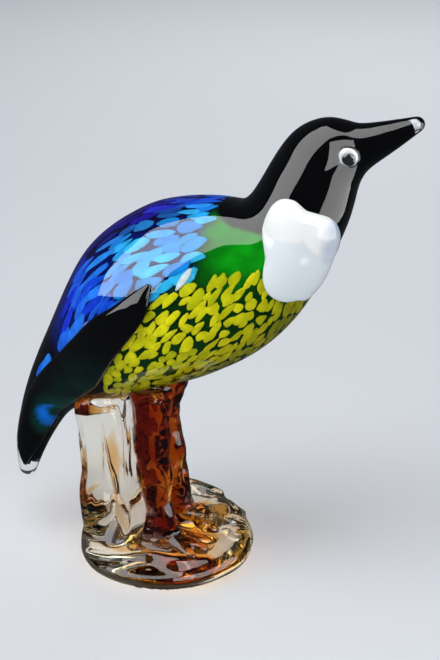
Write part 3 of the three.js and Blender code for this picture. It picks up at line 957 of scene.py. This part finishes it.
def cheek(name, middle_turn, wrap):
    """A pad on the right side: wrap is how much of its reach round the throat it keeps."""

    def place(polar, angle):
        grow = math.sin(polar)
        reach = cheek_reach(angle) * grow
        u = reach * math.cos(angle)
        v = reach * math.sin(angle)
        edge = (1 - grow**5) ** 0.5
        offs = [((u - p) ** 2 + (v - q) ** 2) / r**2 for p, q, r in CHEEK_GATHERS]
        swell = max(math.sqrt(max(0.0, GATHER_REACH_SQUARED - off)) for off in offs)
        lift = CHEEK_THICKNESS * edge * (CHEEK_BASE + CHEEK_SWELL * swell)
        if polar >= math.pi / 2:
            lift = -CHEEK_ROOT_DEPTH * edge
        if v > 0:
            v *= wrap
        return CHEEK_AT + u / SPINE_LENGTH, math.radians(middle_turn) + v / NECK_RADIUS, lift

    def tint(co):
        """White, a shade greyer in the lower gather, which is painted shade, and blue-grey by the throat,
        which is a painted reflection."""
        t, turn = where_on_bird(co)
        u = (t - CHEEK_AT) * SPINE_LENGTH
        v = (abs(turn) - math.radians(middle_turn)) * NECK_RADIUS
        upper, throat, lower = [1 - ((u - p) ** 2 + (v - q) ** 2) / r**2 for p, q, r in CHEEK_GATHERS]
        # Painted shade: the lower gather is greyer than the upper ones
        white = blend_colours(UPPER_WHITE, SHADED_LOWER_WHITE, step(lower - max(upper, throat), 0.0, 0.3))
        # Painted reflection: blue-grey by the throat, laid unevenly
        reflection_share = max(0.0, patch(u, v, *CHEEK_REFLECTION_OVAL))
        return blend_colours(white, THROAT_REFLECTION_BLUE, min(1.0, reflection_share * REFLECTION_STRENGTH) * uneven(co, 9, 0.7, 0.6))

    piece = relaxed(laid_on_skin(name, 96, 48, place), 4)
    return wear(paint(piece, tint), white_glass)


cheek_right = cheek("glass_cheek_right", 118, 1.0)
# The left one sits further back: from the photograph's side nothing of it shows past the throat
cheek_model = cheek("cheek_model", 106, 0.72)
cheek_left = mirrored(cheek_model, "glass_cheek_left")
bpy.data.objects.remove(cheek_model)

# Eyes: a white bead, a black bead under it that shows round it as a fine dark line, a painted shadow
# where it was pressed in, and a smoke-coloured pupil. Each bead's radius and rise in millimetres
EYE_AT = 0.145
EYE_TURN = math.radians(97)
EYE_BEAD = (4.6, 1.7)
EYE_SHADOW_LINE = (5.2, 0.9)
PUPIL_BEAD = (3.1, 1.1)
BEAD_SIDES = 40


def bead(name, middle, outward, radius, rise):
    """A bead pressed into the head, facing outward."""
    piece = resized(ball(BEAD_SIDES, BEAD_SIDES // 2), (radius * MM, radius * MM, rise * MM))
    piece.matrix_world = Matrix.Translation(middle) @ outward.to_track_quat("Z", "Y").to_matrix().to_4x4()
    return smooth_shade(call_it(settle(piece), name))


eye_middle = on_skin(EYE_AT, EYE_TURN, 0)
eye_out = (on_skin(EYE_AT, EYE_TURN, 5) - eye_middle).normalized()
eye_right = wear(bead("glass_eye_right", eye_middle, eye_out, *EYE_BEAD), eye_glass)
eye_left = mirrored(eye_right, "glass_eye_left")
# Painted shadow: a wider black bead under the white one, seen as a dark line round it
eye_shadow_right = wear(bead("eye_shadow_line_right", eye_middle, eye_out, *EYE_SHADOW_LINE), eye_shadow_glass)
eye_shadow_left = mirrored(eye_shadow_right, "eye_shadow_line_left")
low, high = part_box("pupil_right")
pupil_middle = (Vector(low) + Vector(high)) / 2
pupil_right = wear(bead("glass_pupil_right", pupil_middle, eye_out, *PUPIL_BEAD), pupil_glass)
pupil_left = mirrored(pupil_right, "glass_pupil_left")

# Legs: amber rods pinched and pulled while hot, with a knob at the thigh and a heart of deeper amber.
# Ripples are depth and size in millimetres
LEG_OFF_MIDDLE = 11
KNOB_AT = (-2.2, 92)
KNOB_RADII = (10.6, 8, 8)
LEG_VOXEL = 0.8
LEG_RIPPLE = (2.2, 9)
HEART_RIPPLE = (3.4, 5)
LEG_STRETCH = (1, 1, 0.6)
HEART_DEPTH = 2.6
# The heart is drawn in lengthwise about this height, so that it ends inside the leg
HEART_SQUEEZE = (1, 1, 0.9)
HEART_MIDDLE = 50

legs = {}
for side, sign in (("right", -1), ("left", 1)):
    knob = blob(f"knob_{side}", (KNOB_AT[0], sign * LEG_OFF_MIDDLE, KNOB_AT[1]), KNOB_RADII)
    leg = fused(f"glass_leg_{side}", [copy_of(f"leg_{side}", f"rod_{side}"), knob], LEG_VOXEL, 8)
    ripple(leg, *LEG_RIPPLE, stretch=LEG_STRETCH, seed=4.0 * sign)
    heart = twin(leg, f"leg_heart_{side}")
    finish_with(heart, "DISPLACE", strength=-HEART_DEPTH * MM, mid_level=0.0)
    melted(heart, LEG_VOXEL)
    ripple(heart, *HEART_RIPPLE, stretch=LEG_STRETCH, seed=7.0 * sign)
    resized(relaxed(heart, 3), HEART_SQUEEZE, center_override=(0, 0, HEART_MIDDLE * MM))
    wear(smooth_shade(kept_inside(heart, leg)), deep_amber)
    legs[side] = [wear(leg, amber_glass), heart]

# The rock: clear glass that ran down round the feet and was gathered up into a stump for the tail.
# Each run: its points and its half widths at them, in millimetres
RUNS = {
    "run_front": (
        [(-30, -28, 9), (-14, -34, 12), (4, -27, 14), (16, -28, 13), (31, -18, 12)],
        [3, 4.2, 3.4, 4.4, 3],
    ),
    "run_side": (
        [(-20, -17, 12), (-17, -14, 24), (-19, -12, 44), (-21, -12, 64), (-23, -13, 84)],
        [5.5, 4.4, 3.3, 2.8, 2.6],
    ),
    "run_left": (
        [(-35, -13, 10), (-38, -8, 24), (-41, -4, 44), (-42, -3, 66), (-43, -2, 84)],
        [3, 3.2, 2.6, 2.4, 2.4],
    ),
    "run_back": ([(-14, 16, 18), (-2, 25, 24), (8, 30, 24), (20, 32, 20)], [6, 5.5, 4, 3]),
}
# Runs over the left foot's toes: their turns in degrees about their root, then reach and height, half widths
TOE_TURNS = (58, 36, 14)
TOE_ROOT = (6, 6)
TOE_PROFILE = ((2, 22), (12, 20), (24, 18), (34, 15))
TOE_WIDTHS = [3.4, 3.4, 3.8, 2.4]
FOOT_FILLER_RADII = (13, 9, 7)
# The rock's own swell, and the flutes of the stump: depth and size in millimetres
ROCK_VOXEL = 1.0
ROCK_SWELL = (1.6, 24)
STUMP_FLUTES = (5.0, 11)

fillers = [blob(f"foot_filler_{sign}", (4, sign * LEG_OFF_MIDDLE, 16), FOOT_FILLER_RADII) for sign in (-1, 1)]
runs = [run_of_glass(name, points, widths) for name, (points, widths) in RUNS.items()]
for k, turn in enumerate(TOE_TURNS):
    a = math.radians(turn)
    line = [(TOE_ROOT[0] + r * math.cos(a), TOE_ROOT[1] + r * math.sin(a), z) for r, z in TOE_PROFILE]
    runs.append(run_of_glass(f"run_toe_{k}", line, TOE_WIDTHS))
rock = fused("glass_rock", [copy_of("rock", "rock_body"), *fillers, *runs], ROCK_VOXEL, 10)


def above_foot(co):
    """The flat underside stays as it is: the ripple grows over 4 mm from 1.5 mm up."""
    return min(1.0, max(0.0, (co.z / MM - 1.5) / 4))


def in_stump(co):
    """The stump's flutes begin about 30 mm up."""
    return step(co.z / MM, 30, 16)


ripple(rock, *ROCK_SWELL, stretch=(1, 1, 0.7), seed=9.0, keep=above_foot)
ripple(rock, *STUMP_FLUTES, stretch=(1, 1, 0.22), seed=3.0, keep=in_stump)
relaxed(rock, 9)
# What lies lower than this many millimetres is ground flat, so that the rock stands
SITS_BELOW = 0.8
for vertex in rock.data.vertices:
    if vertex.co.z < SITS_BELOW * MM:
        vertex.co.z = 0.0
wear(rock, rock_glass)

# Amber that ran into the clear glass: a pool under the feet (middle, radii and turn of each lobe), threads
# that rise in the stump, a gold band across the stump that is a painted reflection, and a rim where the tail
# was stuck on
POOL_LOBES = {
    "pool_middle": ((5, -3, 9), (24, 22, 4.6), 0.3),
    "pool_front": ((12, -15, 8.5), (21, 12, 4), -0.4),
    "pool_back": ((12, 16, 11), (18, 11, 4), 0.6),
    "pool_toe_right": ((3, -17, 13), (11, 7, 4.5), -0.2),
    "pool_toe_left": ((4, 15, 13), (10, 7, 4.5), 0.3),
}
THREADS_AND_REFLECTION = {
    "thread_side": ([(-17, -12, 14), (-20, -11, 34), (-22, -11, 54), (-23, -10, 72)], [0.8, 1.6, 2.8, 0.5]),
    # A painted reflection: a gold band across the stump, laid in as an amber streak
    "reflection_band_mid": ([(-41, 1, 31), (-37, -8, 30), (-30, -12, 29), (-23, -12, 26)], [1.0, 2.2, 1.8, 0.6]),
    "thread_low": ([(-38, -6, 8), (-31, -15, 10), (-18, -20, 9), (-6, -22, 8)], [0.8, 1.8, 2.2, 1.0]),
    "thread_left": ([(-40, 4, 14), (-38, -4, 26), (-35, -8, 34), (-30, -9, 40)], [1.6, 2.2, 1.6, 0.5]),
}
RIM_LINE = [(-41, 6, 79), (-41, -3, 79), (-37, -8, 80), (-30, -11, 81), (-22, -12, 82)]
RIM_WIDTHS = [2.6, 4.2, 3.6, 2.0, 0.8]
POOL_VOXEL = 0.9
POOL_RIPPLE = (2.2, 9)

pool = fused("amber_pool", [blob(name, *lobe) for name, lobe in POOL_LOBES.items()], POOL_VOXEL, 6)
ripple(pool, *POOL_RIPPLE, seed=2.0)
wear(kept_inside(pool, rock), sealed_amber)
threads_and_reflection = joined([run_of_glass(name, *thread) for name, thread in THREADS_AND_REFLECTION.items()], "amber_threads_and_reflection")
wear(smooth_shade(kept_inside(threads_and_reflection, rock)), amber_streak)
rim_amber = run_of_glass("amber_rim", RIM_LINE, RIM_WIDTHS)
wear(smooth_shade(kept_inside(rim_amber, rock)), deep_amber)

# What stands for which solid, with a finish name for each: every piece is hung from the root, and the solid
# is hidden
STANDS_FOR = {
    "bird": ("bird_glass", [casing, core, yellow_chips, blue_chips]),
    "wing_right": ("wing_glass", [wing_right]),
    "wing_left": ("wing_glass", [wing_left]),
    "cheek_right": ("white_glass", [cheek_right]),
    "cheek_left": ("white_glass", [cheek_left]),
    "eye_right": ("eye_glass", [eye_right, eye_shadow_right]),
    "eye_left": ("eye_glass", [eye_left, eye_shadow_left]),
    "pupil_right": ("pupil_glass", [pupil_right]),
    "pupil_left": ("pupil_glass", [pupil_left]),
    "leg_right": ("amber_glass", legs["right"]),
    "leg_left": ("amber_glass", legs["left"]),
    "rock": ("clear_glass", [rock, pool, threads_and_reflection, rim_amber]),
}
for node, (finish, pieces) in STANDS_FOR.items():
    for piece in pieces:
        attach(piece, "root")
        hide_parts(node)

# Floor: matt pale paper, a hair below the rock's foot, even but for faint broad clouds. It shows through the
# glass, but the glass doesn't mirror it
FLOOR_SIZE = 8
FLOOR_BELOW = 0.0002
bpy.ops.object.select_all(action="DESELECT")
bpy.ops.mesh.primitive_plane_add(size=FLOOR_SIZE)
bpy.context.object.location.z = -FLOOR_BELOW
floor = call_it(settle(bpy.context.object), "floor")
paper, tree = new_material("pale studio paper")
where = add(tree, "ShaderNodeTexCoord")
grain = add(tree, "ShaderNodeTexNoise", [(where.outputs["Object"], "Vector")], Scale=3.0)
tone = add(tree, "ShaderNodeMix", [(grain.outputs["Fac"], "Factor")], data_type="RGBA")
tone.inputs[MIX_A].default_value = linear("#d3d6da")
tone.inputs[MIX_B].default_value = linear("#d9dbde")
sheet = add(tree, "ShaderNodeBsdfPrincipled", [(tone.outputs[2], "Base Color")])
sheet.inputs["Roughness"].default_value = 0.9
sheet.inputs["Specular IOR Level"].default_value = 0.0
add(tree, "ShaderNodeOutputMaterial", [(sheet.outputs[0], "Surface")])
wear(floor, paper)
floor.visible_glossy = False

# The room is pale to the eye and dark in the glass, which gives the glass its dark edges and strong colours
world = bpy.data.worlds.new("Studio")
world.use_nodes = True
room = world.node_tree
room.nodes.clear()
path = add(room, "ShaderNodeLightPath")
in_glass = add(room, "ShaderNodeMath", operation="MAXIMUM")
room.links.new(path.outputs["Is Glossy Ray"], in_glass.inputs[0])
room.links.new(path.outputs["Is Transmission Ray"], in_glass.inputs[1])
pale = add(room, "ShaderNodeBackground", Color=linear("#d5dae2"), Strength=0.55)
dark = add(room, "ShaderNodeBackground", Color=linear("#c9d2e0"), Strength=0.1)
either = add(room, "ShaderNodeMixShader", [(in_glass.outputs[0], "Fac")])
room.links.new(pale.outputs[0], either.inputs[1])
room.links.new(dark.outputs[0], either.inputs[2])
add(room, "ShaderNodeOutputWorld", [(either.outputs[0], "Surface")])
bpy.context.scene.world = world

# Softboxes that face the bird: name, direction from its middle, distance, width, height, brightness, seen by.
# A key lights without being seen; a card is seen only as a reflection on the glass (glossy) or through it
# (transmission)
BIRD_MIDDLE = Vector((0.03, 0, 0.13))
LAMPS = [
    ("key above", (-0.1, -0.35, 0.93), 1.0, 0.6, 0.6, 3.6, "diffuse"),
    ("key left", (-0.75, -0.55, 0.35), 0.9, 0.5, 0.6, 3.6, "diffuse"),
    ("key right", (0.75, -0.55, 0.35), 0.9, 0.5, 0.6, 3.2, "diffuse"),
    ("key behind", (-0.1, 0.8, 0.45), 1.2, 0.7, 0.7, 2.6, "diffuse"),
    ("card left", (-0.534, -0.499, 0.688), 1.0, 0.98, 2.05, 4.5, "glossy"),
    ("card front", (0.57, -0.73, 0.45), 1.0, 0.75, 1.05, 4.5, "glossy"),
    ("card right", (0.25, -0.047, 0.025), 0.256, 0.36, 0.3, 4.0, "glossy"),
    ("card behind the glass", (-0.62, 0.2, 0.69), 1.0, 0.9, 1.4, 1.5, "transmission"),
]
for name, direction, distance, width, height, brightness, seen_by in LAMPS:
    light = bpy.data.lights.new(name, "AREA")
    light.shape = "RECTANGLE"
    light.size = width
    light.size_y = height
    light.energy = brightness * math.pi * width * height
    softbox = bpy.data.objects.new(name, light)
    bpy.context.collection.objects.link(softbox)
    outwards = Vector(direction).normalized()
    softbox.location = BIRD_MIDDLE + outwards * distance
    softbox.rotation_euler = outwards.to_track_quat("Z", "Y").to_euler()
    softbox.visible_camera = False
    softbox.visible_diffuse = seen_by == "diffuse"
    softbox.visible_glossy = seen_by == "glossy"
    softbox.visible_transmission = seen_by == "transmission"

# The photograph's viewing angle
AZIMUTH = math.radians(20)
ELEVATION = math.radians(24)
DISTANCE = 0.9
TARGET = Vector((0.0295, 0, 0.1275))
FOCAL_LENGTH = 104
SENSOR_WIDTH = 36
towards = Vector(
    (math.sin(AZIMUTH) * math.cos(ELEVATION), -math.cos(AZIMUTH) * math.cos(ELEVATION), math.sin(ELEVATION))
)
lens = bpy.data.cameras.new("camera")
lens.lens = FOCAL_LENGTH
lens.sensor_width = SENSOR_WIDTH
camera = bpy.data.objects.new("camera", lens)
bpy.context.collection.objects.link(camera)
camera.location = TARGET + towards * DISTANCE
camera.rotation_euler = towards.to_track_quat("Z", "Y").to_euler()
bpy.context.scene.camera = camera
bpy.context.scene.view_settings.view_transform = "Standard"
